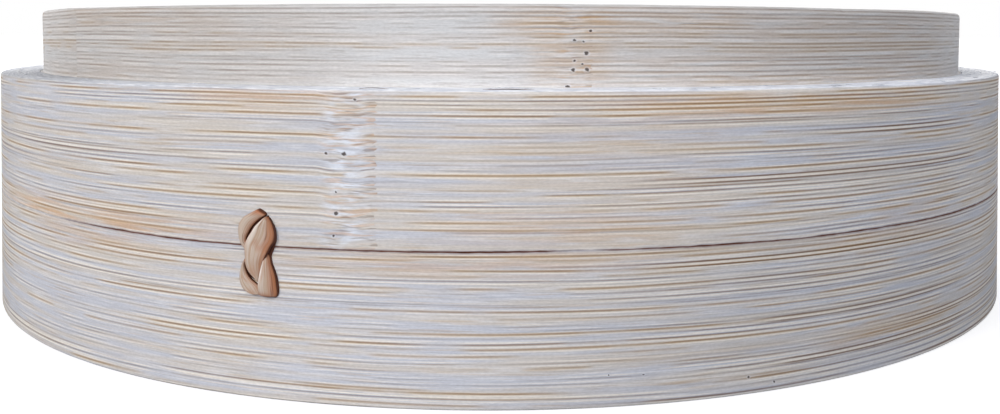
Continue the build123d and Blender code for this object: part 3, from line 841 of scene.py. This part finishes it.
# studio: white floor that keeps the shadow, white surround, soft light from the front left
stage = {"floorColour": "#b4b4b6", "floorHalf": 12.0, "glow": 0.74, "glowFrom": 0.16, "glowTo": 0.5,
         "ambient": 0.3, "ambientColour": "#edf2ff", "lampAim": (0, 0, 0.03)}
bm = bmesh.new()
bmesh.ops.create_grid(bm, x_segments=1, y_segments=1, size=stage["floorHalf"])
mesh = bpy.data.meshes.new("floor")
bm.to_mesh(mesh)
bm.free()
floor = bpy.data.objects.new("floor", mesh)
scene.collection.objects.link(floor)
paper = bpy.data.materials.new("whitePaperFloor")  # white to the eye, mid grey to the light
paper.use_nodes = True
mesh.materials.append(paper)
world = bpy.data.worlds.new("studioSurround")
scene.world = world
world.use_nodes = True
for tree in (paper.node_tree, world.node_tree):
    tree.nodes.clear()
    rays = addNode(tree, "LightPath", {})
    seen = addNode(tree, "Math", {
        "operation": "MAXIMUM", 0: rays.outputs["Is Camera Ray"],
        1: rays.outputs["Is Glossy Ray"]})
    seen = addNode(tree, "Math", {"operation": "MAXIMUM", 0: seen, 1: rays.outputs["Is Transmission Ray"]})
    if tree == paper.node_tree:
        lit = addNode(tree, "BsdfDiffuse", {"Color": stage["floorColour"]})
        spot = addNode(tree, "TexCoord", {}).outputs["Object"]
        away = addNode(tree, "VectorMath", {"operation": "LENGTH", 0: spot}).outputs["Value"]
        bright = addNode(tree, "MapRange", {
            "Value": away, "From Min": stage["glowFrom"], "From Max": stage["glowTo"],
            "To Min": stage["glow"], "To Max": 1.0})
        bright = addNode(tree, "Math", {"operation": "MULTIPLY", 0: seen, 1: bright})
        glow = addNode(tree, "Emission", {"Strength": bright})
        both = addNode(tree, "AddShader", {0: lit, 1: glow})
        addNode(tree, "OutputMaterial", {"Surface": both})
    else:
        dim = addNode(tree, "Background", {"Color": stage["ambientColour"], "Strength": stage["ambient"]})
        white = addNode(tree, "Background", {"Color": "#ffffff", "Strength": 1.0})
        both = addNode(tree, "MixShader", {0: seen, 1: dim, 2: white})
        addNode(tree, "OutputWorld", {"Surface": both})

lamps = {
    "keyLeft": {"at": (-0.72, -0.72, 0.55), "size": 0.26, "power": 5.2, "colour": "#fffaf3"},
    "fillFront": {"at": (0.08, -0.98, 0.5), "size": 0.8, "power": 4.5, "colour": "#f3f7ff"},
    "topSoft": {"at": (-0.1, 0.3, 1.2), "size": 0.9, "power": 3.2, "colour": "#f4f7ff"},
    "backLeft": {"at": (-0.16, 1.04, 0.5), "size": 0.7, "power": 5.5, "colour": "#fffaf2"},
    "backRight": {"at": (0.42, 1.0, 0.5), "size": 0.6, "power": 4.5, "colour": "#fffaf2"},
}
for name, lamp in lamps.items():
    light = bpy.data.lights.new(name, "AREA")
    light.size, light.energy, light.color = lamp["size"], lamp["power"], linear(lamp["colour"])[:3]
    holder = bpy.data.objects.new(name, light)
    holder.location = lamp["at"]
    towards = Vector(stage["lampAim"]) - Vector(lamp["at"])
    holder.rotation_euler = towards.to_track_quat("-Z", "Y").to_euler()
    scene.collection.objects.link(holder)
print("studio lit")

# camera matched to the photo, in mm, degrees and photo pixels
shot = {"away": 293.2, "height": 61.34, "orbit": 0.63, "yaw": 1.794, "down": 3.044, "roll": 0.165,
        "focal": 1042.0, "wide": 1000, "sensor": 36.0, "shift": (-0.0398, -0.1194)}
eye = bpy.data.cameras.new("photoCamera")
eye.sensor_width = shot["sensor"]
eye.lens = shot["focal"] * shot["sensor"] / shot["wide"]
eye.shift_x, eye.shift_y = shot["shift"]
eye.clip_start, eye.clip_end = 0.01, 50.0
camera = bpy.data.objects.new("photoCamera", eye)
around = math.radians(shot["orbit"])
aim = Matrix.Rotation(around - math.radians(shot["yaw"]), 4, "Z")
aim = aim @ Matrix.Rotation(math.radians(90 - shot["down"]), 4, "X")
aim = aim @ Matrix.Rotation(math.radians(shot["roll"]), 4, "Z")
spot = Vector((shot["away"] * math.sin(around), -shot["away"] * math.cos(around), shot["height"])) * mm
camera.matrix_world = Matrix.Translation(spot) @ aim
scene.collection.objects.link(camera)
scene.camera = camera
